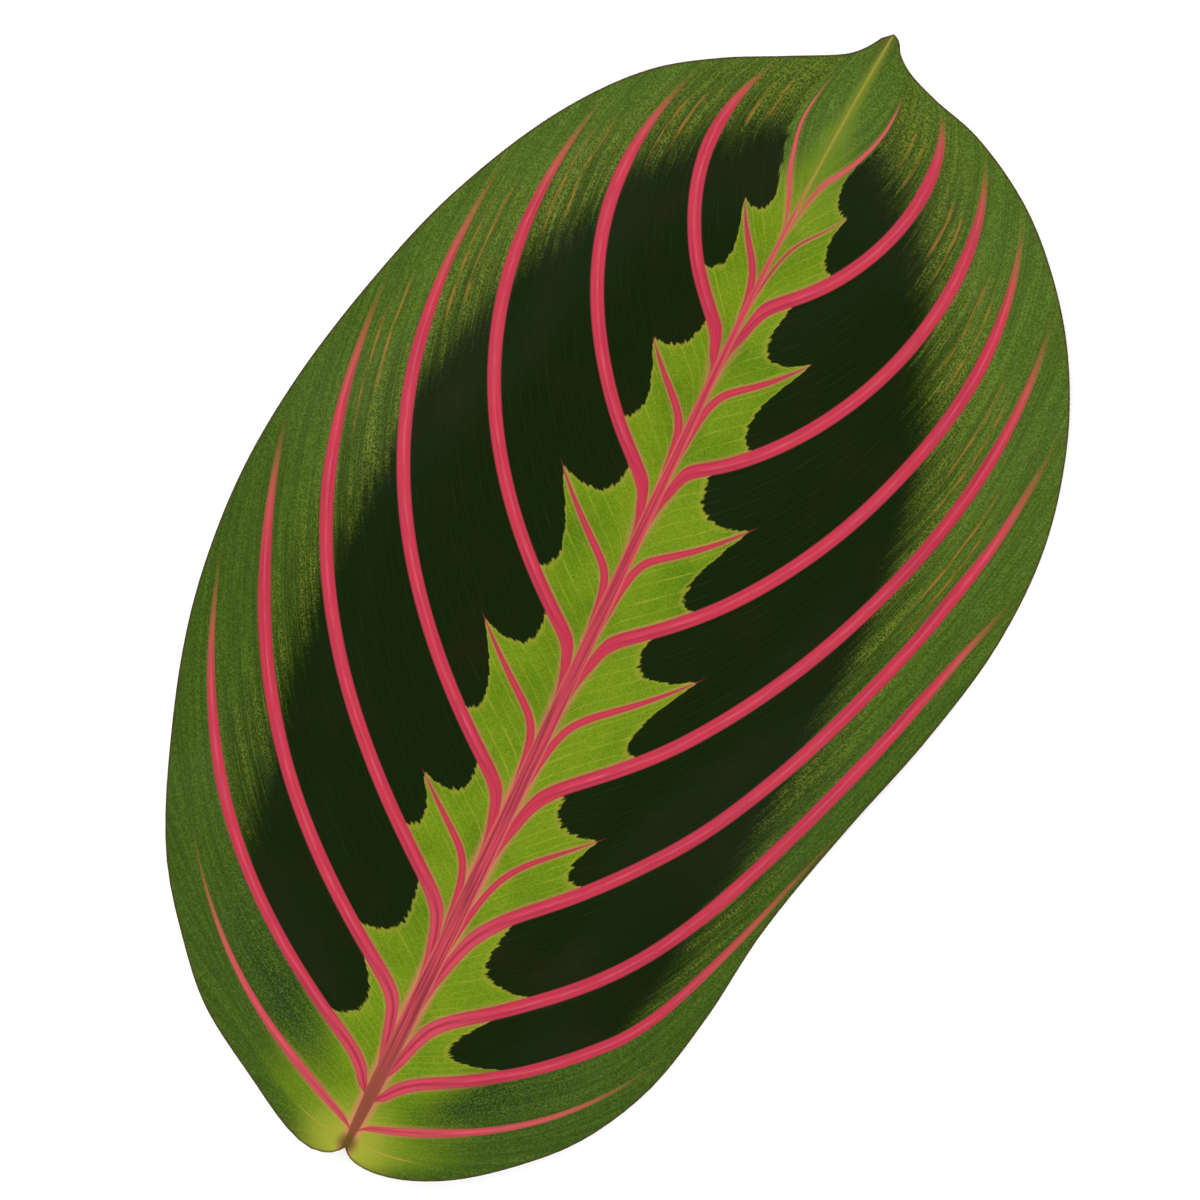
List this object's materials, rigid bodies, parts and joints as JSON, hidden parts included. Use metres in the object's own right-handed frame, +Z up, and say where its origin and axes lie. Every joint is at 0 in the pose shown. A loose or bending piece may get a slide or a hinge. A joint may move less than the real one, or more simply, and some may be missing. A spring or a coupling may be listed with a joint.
{
  "type": "prayer plant leaf",
  "caption": "Single picked prayer plant leaf lying face up: waved oval blade with a pointed tip, a midrib and bowed side ribs raised beneath.",
  "frame": {"origin": "middle of the leaf's box, at the surface that the leaf lies on", "axes": "+Y along the midrib from the stalk end to the tip, +Z up out of the patterned face, +X to the right seen from above"},
  "size_m": [0.0758, 0.1256, 0.0067],
  "materials": {
    "leaf_blade": "soft waxy sheen, dark green with a lime centre and pink-red veins"
  },
  "bodies": {
    "root": {"leaf": "leaf_blade"}
  },
  "joints": []
}
